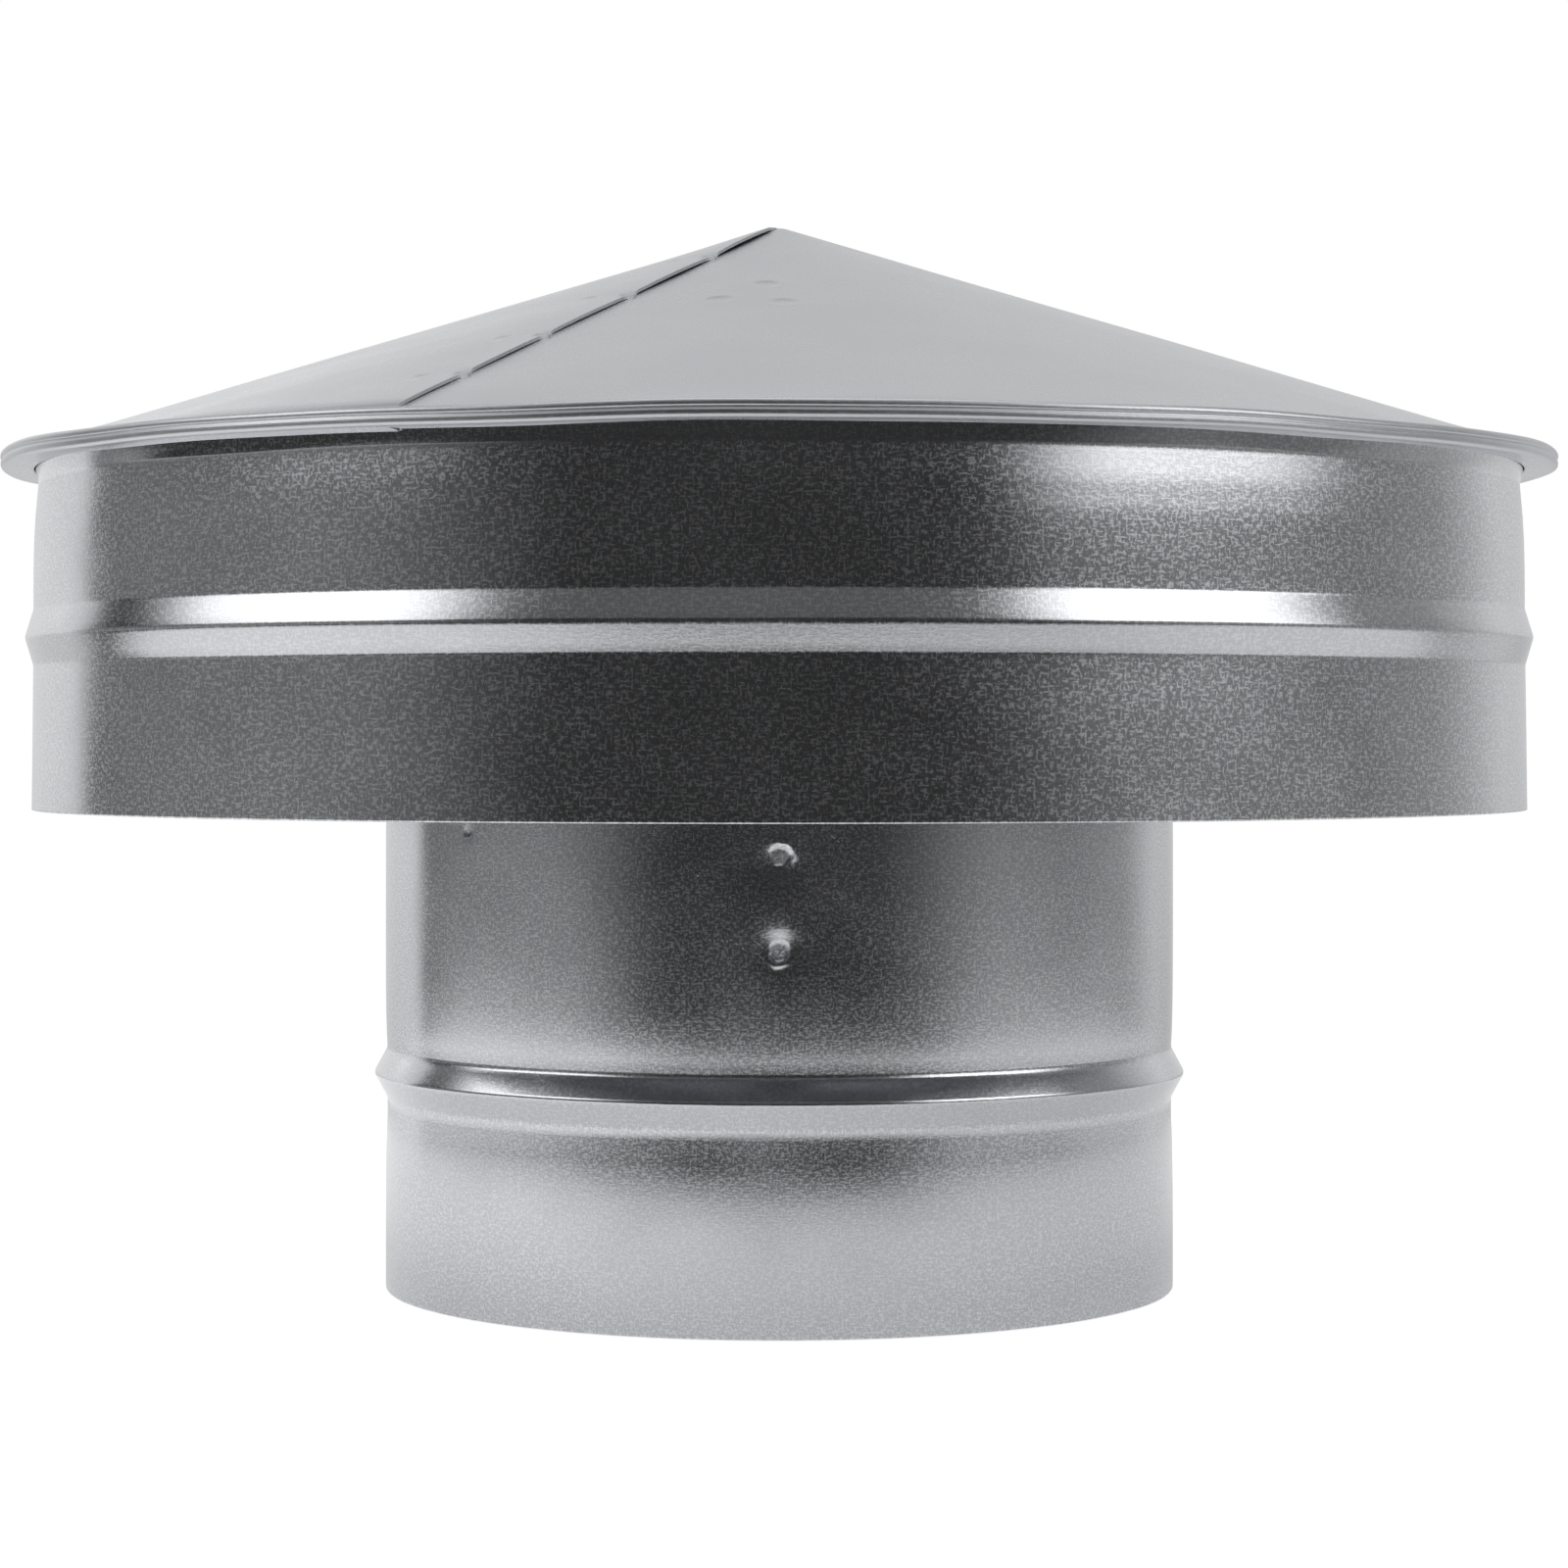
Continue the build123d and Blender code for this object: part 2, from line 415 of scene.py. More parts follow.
def sheet_piece(name, node, material, section, azimuth, lift, flat, mark=0.0, heave=0.0):
    """Piece of one bent sheet that replaces a CAD node, with rounded rims and cut ends."""
    rows, points = sheet_points(section, azimuth, lift, heave)
    loop, columns = points.shape[:2]
    mesh = bpy.data.meshes.new(name)
    mesh.from_pydata(points.reshape(-1, 3).tolist(), [], sheet_faces(loop, columns, section))
    vectors = np.zeros((loop * columns, 3), np.float32)
    vectors[:, :2] = flat[rows].reshape(-1, 2)
    mesh.attributes.new("flat", "FLOAT_VECTOR", "POINT").data.foreach_set("vector", vectors.ravel())
    worn = np.broadcast_to(mark, azimuth.shape)[rows].ravel()
    mesh.attributes.new("mark", "FLOAT", "POINT").data.foreach_set("value", worn)
    mesh.shade_smooth()
    mesh.set_sharp_from_angle(angle=SHARP_ANGLE)
    mesh.materials.append(material)
    piece = bpy.data.objects.new(name, mesh)
    bpy.context.scene.collection.objects.link(piece)
    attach(piece, "root")
    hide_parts(node)
    return piece


# Nodes for the materials and the studio
class Graph:
    """Short forms for building a node tree."""

    def __init__(self, tree):
        self.tree = tree
        tree.nodes.clear()

    def node(self, kind, inputs=None, **settings):
        """New node with its settings, and with values or links on its inputs."""
        made = self.tree.nodes.new(kind)
        for key, value in settings.items():
            setattr(made, key, value)
        for key, value in (inputs or {}).items():
            if isinstance(value, bpy.types.NodeSocket):
                self.tree.links.new(value, made.inputs[key])
            else:
                made.inputs[key].default_value = value
        return made

    def math(self, operation, *values, clamp=False):
        """Result of a sum on values and sockets."""
        inputs = dict(enumerate(values))
        return self.node("ShaderNodeMath", inputs, operation=operation, use_clamp=clamp).outputs[0]

    def vector(self, operation, output, inputs):
        """Result of a sum on vectors."""
        return self.node("ShaderNodeVectorMath", inputs, operation=operation).outputs[output]

    def add_share(self, base, value, share, clamp=False):
        """A base with a share of a value added."""
        return self.math("MULTIPLY_ADD", value, share, base, clamp=clamp)

    def ramp(self, value, low, high, out_low=0.0, out_high=1.0):
        """Smooth step of a value between two limits."""
        inputs = {"Value": value, "From Min": low, "From Max": high, "To Min": out_low, "To Max": out_high}
        return self.node("ShaderNodeMapRange", inputs, interpolation_type="SMOOTHSTEP").outputs["Result"]

    def noise(self, vector, cells, detail):
        """Flat noise, with that many cells to the millimetre each way."""
        scaled = self.vector("MULTIPLY", "Vector", {0: vector, 1: (*cells, 1.0)})
        inputs = {"Vector": scaled, "Scale": 1.0, "Detail": detail, "Roughness": 0.5}
        return self.node("ShaderNodeTexNoise", inputs, noise_dimensions="2D").outputs["Fac"]


# Galvanised steel: cells to the millimetre, limits of what shows, shares in roughness, shade and relief
WEFT_CELLS = (0.8, 2.5)
WARP_CELLS = (2.5, 1.1)
FLECK_LIMITS = (0.48, 0.74)
FLECK_MEAN = 0.45
FLECKS_ON_BEADS = 0.55
CLOUD_CELLS = (0.05, 0.07)
CLOUD_ROUGHNESS = 0.10
CLOUD_SHADE = 0.08
SCRATCH_CELLS = (0.05, 2.6)
SCRATCH_TURN = 0.7
SCRATCH_LIMITS = (0.90, 0.94)
SCRATCH_CLOUDS = (0.54, 0.66)
SCRATCH_ROUGHNESS = 0.08
SCRATCH_SHADE = 0.06
SCRATCH_RELIEF = -0.6
MARK_ROUGHNESS = 0.20
CRUST_CELLS = (1.7, 1.7)
CRUST_RELIEF = 5.0
RELIEF = 0.02
RELIEF_STRENGTH = 0.4


def woven_grain(graph, flat, fine):
    """Fine grain of the zinc, woven from two directions."""
    weft = graph.noise(flat, [cells * fine for cells in WEFT_CELLS], 1.0)
    warp = graph.noise(flat, [cells * fine for cells in WARP_CELLS], 1.0)
    return graph.math("MAXIMUM", weft, warp)


def grain_flecks(graph, grain, mark):
    """Flecks of the grain about their mean, weaker where rolls have smoothed it."""
    flecks = graph.math("SUBTRACT", graph.ramp(grain, *FLECK_LIMITS), FLECK_MEAN)
    smoothed = graph.ramp(mark, -1.2 * BEAD_BURNISH, 0.0, FLECKS_ON_BEADS, 1.0)
    return graph.math("MULTIPLY", flecks, smoothed)


def scratches(graph, flat, clouds):
    """A few long scratches, in places."""
    turned = graph.node("ShaderNodeVectorRotate", {"Vector": flat, "Angle": SCRATCH_TURN}).outputs["Vector"]
    lines = graph.ramp(graph.noise(turned, SCRATCH_CELLS, 0.0), *SCRATCH_LIMITS)
    return graph.math("MULTIPLY", lines, graph.ramp(clouds, *SCRATCH_CLOUDS))


def weld_crust(graph, flat, mark):
    """Rough crust on the weld marks."""
    worn = graph.math("MAXIMUM", mark, 0.0)
    return graph.math("MULTIPLY", graph.noise(flat, CRUST_CELLS, 3.0), worn)


def galvanised(name, tone, roughness, fleck, contrast, fine):
    """Satin galvanised steel: a fine woven grain, soft clouds, a few scratches, and dull weld marks."""
    material = bpy.data.materials.new(name)
    material.use_nodes = True
    graph = Graph(material.node_tree)
    flat = graph.node("ShaderNodeAttribute", attribute_name="flat").outputs["Vector"]
    mark = graph.node("ShaderNodeAttribute", attribute_name="mark").outputs["Fac"]
    grain = woven_grain(graph, flat, fine)
    flecks = grain_flecks(graph, grain, mark)
    clouds = graph.noise(flat, CLOUD_CELLS, 2.0)
    scratch = scratches(graph, flat, clouds)
    cloudy = graph.math("SUBTRACT", clouds, 0.5)
    rough = graph.add_share(roughness + FLECK_MEAN * fleck, flecks, fleck)
    rough = graph.add_share(rough, cloudy, CLOUD_ROUGHNESS)
    rough = graph.add_share(rough, scratch, SCRATCH_ROUGHNESS)
    rough = graph.add_share(rough, mark, MARK_ROUGHNESS, clamp=True)
    shade = graph.add_share(1.0, cloudy, CLOUD_SHADE)
    shade = graph.add_share(shade, flecks, contrast)
    shade = graph.add_share(shade, scratch, SCRATCH_SHADE)
    color = graph.vector("SCALE", "Vector", {0: tone, "Scale": shade})
    height = graph.add_share(grain, scratch, SCRATCH_RELIEF)
    height = graph.add_share(height, weld_crust(graph, flat, mark), CRUST_RELIEF)
    relief = {"Strength": RELIEF_STRENGTH, "Distance": RELIEF * MM, "Height": height}
    normal = graph.node("ShaderNodeBump", relief).outputs["Normal"]
    inputs = {"Base Color": color, "Metallic": 1.0, "Roughness": rough, "Normal": normal}
    shader = graph.node("ShaderNodeBsdfPrincipled", inputs)
    graph.node("ShaderNodeOutputMaterial", {"Surface": shader.outputs["BSDF"]})
    return material


ZINC = (0.69, 0.70, 0.725)
DULL_ZINC = (0.60, 0.61, 0.63)
collar_steel = galvanised("collar_steel", ZINC, roughness=0.17, fleck=0.08, contrast=0.34, fine=1.15)
band_steel = galvanised("band_steel", ZINC, roughness=0.18, fleck=0.11, contrast=0.44, fine=0.9)
roof_steel = galvanised("roof_steel", ZINC, roughness=0.27, fleck=0.06, contrast=0.05, fine=1.0)
strap_steel = galvanised("strap_steel", DULL_ZINC, roughness=0.32, fleck=0.20, contrast=0.10, fine=1.0)


# Walls that are rolled from a strip and lap themselves at the back
def rolled_azimuths(section, radius, zones=()):
    """Columns of a rolled strip, closer together along its seam."""
    lap = math.degrees(LAP / radius)
    start = -BACK_SEAM - lap / 2
    end = BACK_SEAM + lap / 2
    seam = [(start, start + 2.2 * lap, lap / 16), (end - 0.6 * lap, end, lap / 8)]
    columns = spread(start, end, WALL_TURN_STEP, [*seam, *zones])
    return np.repeat(columns[None, :], len(section.run), 0)


def joggle(azimuth, radius):
    """The strip's first end lies one sheet further in, and steps out where the other end's edge is past."""
    lap = math.degrees(LAP / radius)
    start = -BACK_SEAM + lap / 2 + JOGGLE_START * lap
    return -STEP_ASIDE * (1.0 - smooth(start, start + math.degrees(JOGGLE / radius), azimuth))


def wall_marks(section, azimuth, radius, marks):
    """Lift and wear of weld marks on a wall: azimuth, place along it, size, dish's shift and lip's side."""
    lift = np.zeros_like(azimuth)
    wear = np.zeros_like(azimuth)
    for center, run, *shape in marks:
        across = np.radians(half_turn(azimuth - center)) * radius
        one_lift, one_wear = weld_mark(across, section.run[:, None] - run, *shape)
        lift += one_lift
        wear = np.maximum(wear, one_wear)
    return lift, wear


def collar_zones():
    """Azimuths round the collar's weld marks, with closer columns."""
    zones = [(TACK_AZIMUTH - MARK_REACH, TACK_AZIMUTH + MARK_REACH, TACK_STEP)]
    for azimuth in STRAP_AZIMUTHS.values():
        center = half_turn(azimuth)
        step = FRONT_MARK_STEP if center == 0.0 else SIDE_MARK_STEP
        zones.append((center - MARK_REACH, center + MARK_REACH, step))
    return zones


def build_collar():
    """Spigot collar: a rolled strip with a V bead and the straps' weld marks."""
    half = COLLAR_BEAD_WIDTH / 2
    crest = COLLAR_RADIUS + COLLAR_RISE + ROUNDING_LOSS + COLLAR_PULL
    corners = [
        (COLLAR_RADIUS, 0.0, 0.0),
        (COLLAR_RADIUS, COLLAR_BEAD - half, BEAD_FOOT_ROUND),
        (crest, COLLAR_BEAD, BEAD_ROUND),
        (COLLAR_RADIUS, COLLAR_BEAD + half, BEAD_FOOT_ROUND),
        (COLLAR_RADIUS, COLLAR_HEIGHT, 0.0),
    ]
    over_bead = 2 * (math.hypot(half, crest - COLLAR_RADIUS) - half)
    marks = [(TACK_AZIMUTH, TACK.level + over_bead, TACK_SIZE, TACK.shift, TACK.lip_turn)]
    for center in STRAP_AZIMUTHS.values():
        marks += [(center, weld.level + over_bead, 1.0, weld.shift, weld.lip_turn) for weld in WELDS]
    runs = [weld.level + over_bead for weld in WELDS]
    rows = [(run - MARK_ROWS, run + MARK_ROWS, MARK_ROW_STEP) for run in runs]
    section = Section(corners, SHEET, 1, COLLAR_ROW_STEP, rows)
    azimuth = rolled_azimuths(section, COLLAR_RADIUS, collar_zones())
    pressed, wear = wall_marks(section, azimuth, COLLAR_RADIUS, marks)
    lift = ripple(section, azimuth, **COLLAR_WAVES) + joggle(azimuth, COLLAR_RADIUS)
    lift += pull_in(section, COLLAR_BEAD, half, COLLAR_PULL) + pressed
    mark = wear + bead_burnish(section, COLLAR_BEAD, half)
    flat = chart(np.radians(azimuth) * COLLAR_RADIUS, section.run[:, None])
    sheet_piece("collar_sheet", "spigot_collar", collar_steel, section, azimuth, lift, flat, mark)


def build_band():
    """Wind band: a rolled strip with a V bead, drawn in and turned out into a flange at its top."""
    half = BAND_BEAD_WIDTH / 2
    taper = (SHOULDER_RADIUS - MOUTH_RADIUS) / (SHOULDER_LEVEL - BAND_BOTTOM)
    at_bead = MOUTH_RADIUS + taper * (BAND_BEAD - BAND_BOTTOM)
    corners = [
        (MOUTH_RADIUS, BAND_BOTTOM, 0.0),
        (at_bead - taper * half, BAND_BEAD - half, BEAD_FOOT_ROUND),
        (at_bead + BAND_RISE + BAND_PULL, BAND_BEAD, BEAD_ROUND),
        (at_bead + taper * half, BAND_BEAD + half, BEAD_FOOT_ROUND),
        (SHOULDER_RADIUS, SHOULDER_LEVEL, SHOULDER_ROUND),
        (NECK_RADIUS, NECK_LEVEL, NECK_ROUND),
        (NECK_RADIUS + FLARE, FLANGE_LEVEL, CORNER_ROUND),
        (FLANGE_RADIUS, FLANGE_LEVEL, 0.0),
    ]
    section = Section(corners, SHEET, 1, BAND_ROW_STEP)
    level = section.level[:, None]
    azimuth = rolled_azimuths(section, MOUTH_RADIUS)
    below_flange = 1.0 - smooth(NECK_LEVEL, NECK_LEVEL + 1.0, level)
    line = BAND_BEAD - half - BAND_LINE_DROP - BAND_BOTTOM
    lift = ripple(section, azimuth, **BAND_WAVES) + joggle(azimuth, MOUTH_RADIUS)
    lift = (lift + pull_in(section, BAND_BEAD, half, BAND_PULL)) * below_flange
    lift += BAND_LINE_HEIGHT * hump(section.run[:, None] - line, BAND_LINE_WIDTH)
    mark = bead_burnish(section, BAND_BEAD, half)
    mark = mark - NECK_BURNISH * smooth(NECK_LEVEL - 0.4, NECK_LEVEL + 0.2, level)
    heave = rim_wave(azimuth) * smooth(NECK_LEVEL - 2.0, FLANGE_LEVEL - SHEET, level)
    flat = chart(np.radians(azimuth) * MOUTH_RADIUS, section.run[:, None])
    sheet_piece("band_sheet", "wind_band", band_steel, section, azimuth, lift, flat, mark, heave)


# Roof, whose sheet is rolled into a cone and climbs over its own start along the lap seam
def roof_section():
    """Section of the roof, from its rounded tip down the slope, over the brim and round the hem."""
    tip_level = APEX_LEVEL - TIP_ROUND * (SLANT - 1.0)
    ridge_end, groove, ridge_start = (BRIM_LEVEL - share * HEM_HEIGHT for share in HEM_SHARES)
    corners = [
        (TIP_ROUND * math.sin(TIP_START), tip_level - TIP_ROUND * (1.0 - math.cos(TIP_START)), 0.0),
        (TIP_ROUND * math.tan(SLOPE / 2), tip_level, 0.8 * TIP_ROUND),
        (FOOT_RADIUS, BRIM_LEVEL, FOOT_ROUND),
        (RIM_RADIUS, BRIM_LEVEL, 1.8 * FOLD_ROUND),
        (RIM_RADIUS, ridge_end, FOLD_ROUND),
        (RIM_RADIUS - HEM_GROOVE, groove, GROOVE_ROUND),
        (RIM_RADIUS - HEM_SETBACK, ridge_start, FOLD_ROUND / 2),
        (RIM_RADIUS - HEM_SETBACK, BRIM_LEVEL - HEM_HEIGHT, 2 * FOLD_ROUND),
        (RETURN_RADIUS, BRIM_LEVEL - HEM_HEIGHT, 0.0),
    ]
    dents = [at for _, at in ROOF_WELDS]
    margin = 2 * ROOF_DENT_RADIUS
    zones = [((min(dents) - margin) * SLANT, (max(dents) + margin) * SLANT, DENT_ROW_STEP)]
    zones += [(at * SLANT - KNOT_ROWS, at * SLANT + KNOT_ROWS, KNOT_ROW_STEP) for at in SEAM_WELDS]
    return Section(corners, SHEET, -1, ROOF_ROW_STEP, zones)


def roof_azimuths(radius, on_cone):
    """Columns from the end that is hidden under the lap, once round, to the cut edge on top of it."""
    lap = np.degrees(LAP / np.maximum(radius, LAP)) * smooth(2.0, 8.0, radius) * on_cone
    zones = [(SEAM_END - 24.0 / share, SEAM_END, 0.8 / share) for share in (1, 3, 9)]
    for center in STRAP_AZIMUTHS.values():
        zones.append((center - 13.0, center + 4.5, 0.55 if center == 0.0 else 0.9))
    columns = spread(ROOF_SEAM, SEAM_END, ROOF_TURN_STEP, zones)
    hidden = ROOF_SEAM - lap * np.linspace(1.0, 0.0, 5)[None, :-1]
    return np.concatenate([hidden, np.repeat(columns[None, :], len(radius), 0)], 1)


def seam_gap(radius):
    """How far the roof's cut edge stands off between its spot welds."""
    stops = (1.0, *SEAM_WELDS, FOOT_RADIUS)
    gap = np.zeros_like(radius)
    for low, high, most in zip(stops, stops[1:], SEAM_GAPS):
        inside = (radius > low) & (radius < high)
        share = np.where(inside, (radius - low) / (high - low), 0.0)
        gap += most * np.sin(math.pi * share) ** 0.7
    return gap


def roof_dents(azimuth, radius):
    """Press marks of the spot welds that hold the straps' tabs."""
    lift = np.zeros_like(azimuth)
    for center in STRAP_AZIMUTHS.values():
        for turn, at in ROOF_WELDS:
            across = np.radians(half_turn(azimuth - center - turn)) * radius
            distance = np.hypot(across, (radius - at) * SLANT)
            lift += dent(distance, ROOF_DENT_RADIUS, ROOF_DENT, ROOF_DENT_LIP)
    return lift


def seam_knots(inward, radius):
    """Lift, wear and sideways squash of the spot welds along the lap seam's edge."""
    lift = np.zeros_like(inward)
    wear = np.zeros_like(inward)
    squash = np.zeros_like(inward)
    for at in SEAM_WELDS:
        up = (radius - at) * SLANT
        wear += hump(inward - 0.5, 1.4) * hump(up, 1.3)
        squash += KNOT_SQUASH * hump(up, 1.8) * np.exp(-inward / 3.0)
        lift -= KNOT_DIP * hump(inward, 2.2) * hump(up, 1.6)
        lift += KNOT_BUMP * hump(inward - 1.6, 0.9) * hump(up - 0.6, 1.1)
        lift += dent(np.hypot(inward - 8.0, up - 1.5), 1.8, 0.12, 0.03)
    return lift, wear, squash


def build_roof():
    """Roof: one sheet rolled into a cone, its end lapped over its start, and its brim hemmed under."""
    section = roof_section()
    radius = section.radius[:, None]
    on_cone = 1.0 - smooth(FOOT_RADIUS - 1.5, FOOT_RADIUS + 0.5, radius)
    azimuth = roof_azimuths(radius, on_cone)
    to_edge = SEAM_END - azimuth
    near_edge = to_edge < SEAM_REACH
    inward = np.radians(to_edge) * radius
    climb = (1.0 - smooth(0.0, ROOF_RAMP, to_edge)) * smooth(0.5, 4.0, radius) * on_cone
    pressed, knots, squash = seam_knots(inward, radius)
    lift = STEP_ASIDE * climb
    lift += (seam_gap(radius) * np.exp(-inward / SEAM_GAP_REACH) + pressed) * near_edge
    lift += ripple(section, azimuth, **ROOF_WAVES) * on_cone * smooth(5.0, 40.0, radius)
    lift += roof_dents(azimuth, radius)
    on_rim = smooth(RIM_RADIUS - 1.2, RIM_RADIUS - 0.6, radius)
    mark = np.maximum(RIM_WEAR * on_rim, knots * near_edge)
    mark[:, -1] = 1.0
    turn = np.radians(azimuth) * math.cos(SLOPE)
    flat = chart(section.run[:, None] * np.sin(turn), section.run[:, None] * np.cos(turn))
    azimuth = azimuth + np.degrees(squash / np.maximum(radius, 5.0)) * near_edge
    heave = rim_wave(azimuth) * smooth(FOOT_RADIUS - 12.0, FOOT_RADIUS, radius)
    sheet_piece("roof_sheet", "roof_cone", roof_steel, section, azimuth, lift, flat, mark, heave)


def build_strap(node, center):
    """Strap: a bent strip against the collar's inside and the roof's underside, with its weld marks."""
    bore = COLLAR_RADIUS - SHEET
    corner = APEX_LEVEL - bore * math.tan(SLOPE) - SHEET * SLANT
    end = (bore - STRAP_TAB * math.cos(SLOPE), corner + STRAP_TAB * math.sin(SLOPE))
    corners = [(bore, STRAP_FOOT, 0.0), (bore, corner, STRAP_BEND), (*end, 0.0)]
    runs = [weld.level - STRAP_FOOT for weld in WELDS]
    rows = [(run - STRAP_MARK_REACH, run + STRAP_MARK_REACH, STRAP_MARK_STEP) for run in runs]
    section = Section(corners, STRAP_SHEET, 1, STRAP_ROW_STEP, rows)
    middle = (-STRAP_MARK_REACH, STRAP_MARK_REACH, STRAP_MARK_STEP)
    across = spread(-STRAP_WIDTH / 2, STRAP_WIDTH / 2, STRAP_COLUMN_STEP, [middle])[None, :]
    azimuth = center + np.degrees(np.arcsin(across / section.radius[:, None]))
    lift = np.zeros_like(azimuth) - STRAP_AIR
    for run in runs:
        distance = np.hypot(across, section.run[:, None] - run)
        lift += dent(distance, 1.15 * WELD_RADIUS, STRAP_DENT, 0.0)
    flat = chart(across, section.run[:, None])
    sheet_piece(f"{node}_strip", node, strap_steel, section, azimuth, lift, flat)


build_collar()
build_band()
build_roof()
for strap_node, strap_azimuth in STRAP_AZIMUTHS.items():
    build_strap(strap_node, strap_azimuth)

# Studio that reflections see: azimuths, elevations, softness of a window's edges, and strength
Window = namedtuple("Window", "left right bottom top soft_turn soft_bottom soft_top strength")
SIDE_WALLS = (
    Window(-130.0, -51.0, -8.0, 12.0, 22.0, 3.0, 3.0, 0.17),
    Window(44.0, 102.0, -8.0, 12.0, 22.0, 3.0, 3.0, 0.19),
    Window(102.0, 134.0, -40.0, 12.0, 16.0, 3.0, 3.0, 0.26),
    Window(124.0, 166.0, -8.0, 12.0, 12.0, 6.0, 6.0, -0.15),
    Window(-120.0, -44.0, -9.0, -3.5, 14.0, 1.6, 1.6, 0.18),
    Window(48.0, 110.0, -19.0, -3.5, 14.0, 1.6, 1.6, 0.13),
)
SOFTBOXES = (
    Window(-104.0, -54.0, 18.5, 48.0, 11.0, 6.0, 9.0, 1.8),
    Window(42.0, 88.0, 11.0, 48.0, 10.0, 4.0, 9.0, 1.85),
)
FILLS = (
    Window(96.0, 128.0, 13.0, 32.0, 9.0, 4.0, 4.0, 0.24),
    Window(-62.0, 62.0, 24.0, 52.0, 18.0, 8.0, 8.0, 0.09),
    Window(-135.0, -102.0, 20.0, 52.0, 10.0, 5.0, 5.0, 0.16),
)
BACK_LEFT = Window(-181.0, -140.0, 12.0, 22.0, 0.5, 4.0, 4.0, 0.46)
ROOM = 0.037
WHITE = (1.0, 1.0, 1.0, 1.0)

# Floor and camera, in metres
FLOOR_WIDE = 0.67
FLOOR_REACH = 0.40
FLOOR_FADE = 0.06
FLOOR_DROP = 0.0002
FLOOR_COLOR = (0.8, 0.8, 0.8, 1.0)
FLOOR_GLOW = 0.75
# Painted glow that reflections see on the floor: how far to each side it changes, and its strength at the
# left and at the right
FLOOR_GLOW_SIDE = 0.28
FLOOR_GLOW_LEFT = 0.49
FLOOR_GLOW_RIGHT = 0.27
CAMERA_PLACE = (0.0, -0.808, 0.1115)
CAMERA_LENS = 91.1
CAMERA_SHIFT = (0.003, -0.0325)


def soft_window(graph, turn, rise, window):
    """Light of a soft-edged window between two azimuths and two elevations."""
    left = graph.ramp(turn, window.left - window.soft_turn, window.left + window.soft_turn)
    right = graph.ramp(turn, window.right - window.soft_turn, window.right + window.soft_turn, 1.0, 0.0)
    lower = graph.ramp(rise, window.bottom - window.soft_bottom, window.bottom + window.soft_bottom)
    upper = graph.ramp(rise, window.top - window.soft_top, window.top + window.soft_top, 1.0, 0.0)
    across = graph.math("MULTIPLY", left, right)
    shape = graph.math("MULTIPLY", across, graph.math("MULTIPLY", lower, upper))
    return graph.math("MULTIPLY", shape, window.strength)


def pale_back(graph, turn, rise):
    """Pale wall behind the object, duller towards its foot and its top."""
    left = graph.ramp(turn, -130.0, -124.0, 1.0, 0.0)
    right = graph.ramp(turn, 112.0, 142.0)
    light = graph.math("MULTIPLY", graph.math("ADD", left, right), graph.ramp(rise, 6.0, 26.0, 0.79, 0.645))
    light = graph.math("MULTIPLY", light, graph.ramp(rise, -5.0, 1.0, 0.80, 1.0))
    return graph.math("MULTIPLY", light, graph.ramp(rise, 36.0, 50.0, 1.0, 0.35))


def build_world():
    """White to the camera; to reflections a dark front, softboxes at the sides and a pale back."""
    world = bpy.data.worlds.new("studio")
    bpy.context.scene.world = world
    world.use_nodes = True
    graph = Graph(world.node_tree)
    direction = graph.node("ShaderNodeTexCoord").outputs["Generated"]
    parts = graph.node("ShaderNodeSeparateXYZ", {"Vector": direction}).outputs
    ahead = graph.math("MULTIPLY", parts["Y"], -1.0)
    turn = graph.math("MULTIPLY", graph.math("ARCTAN2", parts["X"], ahead), 180.0 / math.pi)
    rise = graph.math("MULTIPLY", graph.math("ARCSINE", parts["Z"]), 180.0 / math.pi)
    light = graph.math("ADD", ROOM, pale_back(graph, turn, rise))
    light = graph.math("ADD", light, graph.ramp(rise, 48.0, 74.0, 0.0, 0.9))
    for window in (*SIDE_WALLS, *SOFTBOXES, *FILLS):
        light = graph.math("ADD", light, soft_window(graph, turn, rise, window))
    at_left = graph.ramp(parts["X"], -0.3, 0.0, 1.0, 0.0)
    light = graph.add_share(light, soft_window(graph, turn, rise, BACK_LEFT), at_left)
    seen = graph.node("ShaderNodeLightPath").outputs["Is Camera Ray"]
    mixed = graph.node("ShaderNodeMix", {"Factor": seen, "A": light, "B": 1.0}, data_type="FLOAT")
    inputs = {"Color": WHITE, "Strength": mixed.outputs["Result"]}
    shader = graph.node("ShaderNodeBackground", inputs)
    graph.node("ShaderNodeOutputWorld", {"Surface": shader.outputs["Background"]})


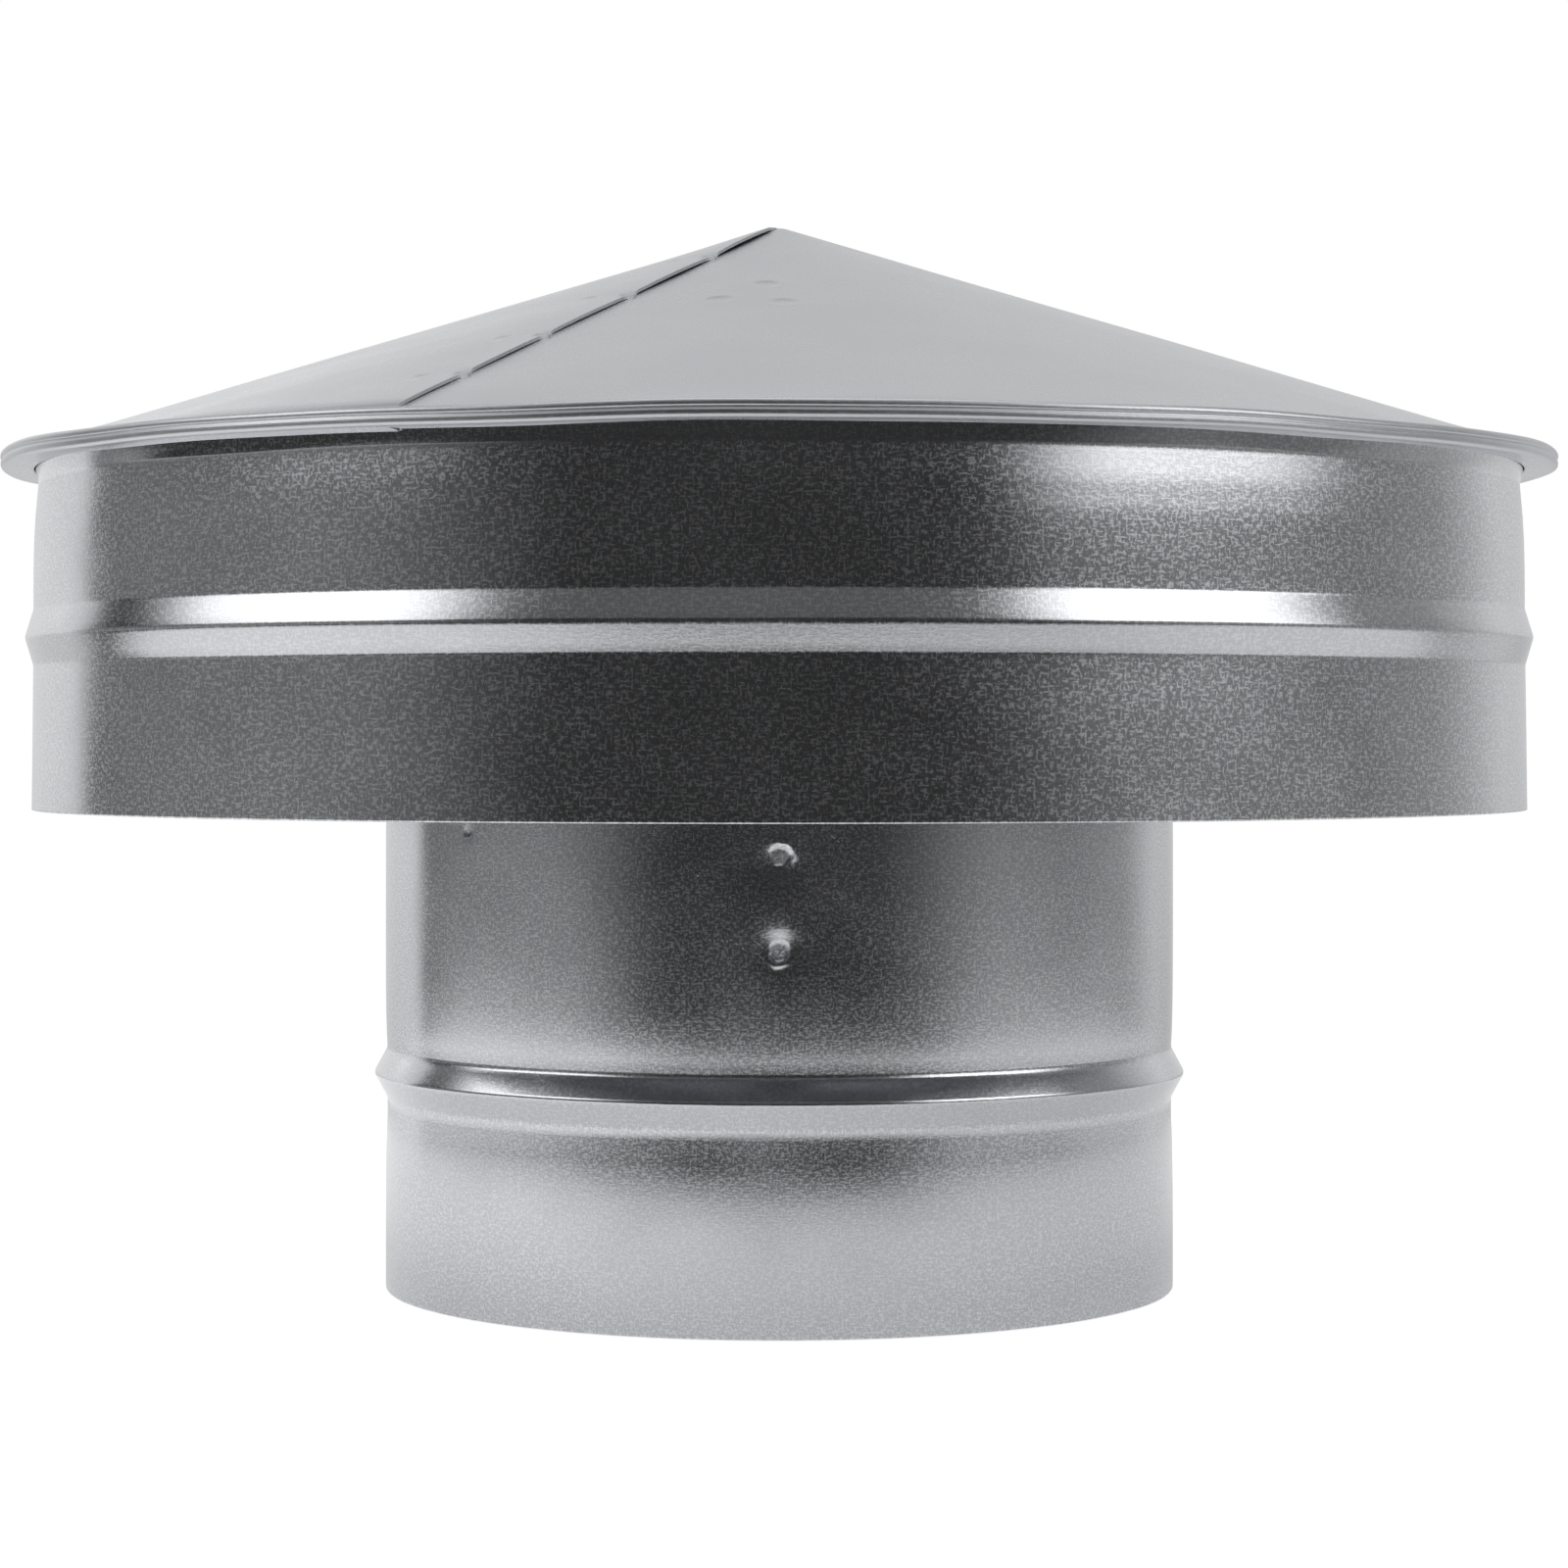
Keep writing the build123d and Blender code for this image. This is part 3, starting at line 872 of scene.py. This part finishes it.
def floor_material():
    """Pale matt floor that fades out round the object, white where nothing shades it, with a painted glow for
    reflections that is brighter at its left.
    """
    material = bpy.data.materials.new("floor")
    material.use_nodes = True
    graph = Graph(material.node_tree)
    place = graph.node("ShaderNodeTexCoord").outputs["Object"]
    side = graph.node("ShaderNodeSeparateXYZ", {"Vector": place}).outputs["X"]
    scaled = graph.vector("MULTIPLY", "Vector", {0: place, 1: (FLOOR_REACH / FLOOR_WIDE, 1.0, 1.0)})
    distance = graph.vector("LENGTH", "Value", {0: scaled})
    cover = graph.ramp(distance, FLOOR_REACH - FLOOR_FADE, FLOOR_REACH, 1.0, 0.0)
    # Painted light: reflections see a glow on the floor that is brighter at its left than at its right.
    painted_reflection_glow = graph.ramp(side, -FLOOR_GLOW_SIDE, FLOOR_GLOW_SIDE, FLOOR_GLOW_LEFT, FLOOR_GLOW_RIGHT)
    rays = graph.node("ShaderNodeLightPath").outputs
    glow = graph.math("MULTIPLY", rays["Is Camera Ray"], FLOOR_GLOW)
    glow = graph.add_share(glow, rays["Is Glossy Ray"], painted_reflection_glow)
    matt = graph.node("ShaderNodeBsdfDiffuse", {"Color": FLOOR_COLOR}).outputs["BSDF"]
    lit = graph.node("ShaderNodeEmission", {"Color": WHITE, "Strength": glow}).outputs["Emission"]
    both = graph.node("ShaderNodeAddShader", {0: matt, 1: lit}).outputs["Shader"]
    clear = graph.node("ShaderNodeBsdfTransparent").outputs["BSDF"]
    faded = graph.node("ShaderNodeMixShader", {"Fac": cover, 1: clear, 2: both}).outputs["Shader"]
    graph.node("ShaderNodeOutputMaterial", {"Surface": faded})
    return material


def build_floor():
    """Floor just under the object."""
    around = ((-1, -1), (1, -1), (1, 1), (-1, 1))
    corners = [(x * FLOOR_WIDE, y * FLOOR_REACH, -FLOOR_DROP) for x, y in around]
    mesh = bpy.data.meshes.new("floor")
    mesh.from_pydata(corners, [], [(0, 1, 2, 3)])
    mesh.materials.append(floor_material())
    floor = bpy.data.objects.new("floor", mesh)
    bpy.context.scene.collection.objects.link(floor)


def build_camera():
    """Camera that looks level at the cap's front, as the photo does."""
    data = bpy.data.cameras.new("camera")
    data.lens = CAMERA_LENS
    data.sensor_width = 36.0
    data.shift_x, data.shift_y = CAMERA_SHIFT
    camera = bpy.data.objects.new("camera", data)
    camera.location = CAMERA_PLACE
    camera.rotation_euler = (math.radians(90.0), 0.0, 0.0)
    bpy.context.scene.collection.objects.link(camera)
    bpy.context.scene.camera = camera


build_world()
build_floor()
build_camera()
bpy.context.scene.view_settings.view_transform = "Standard"
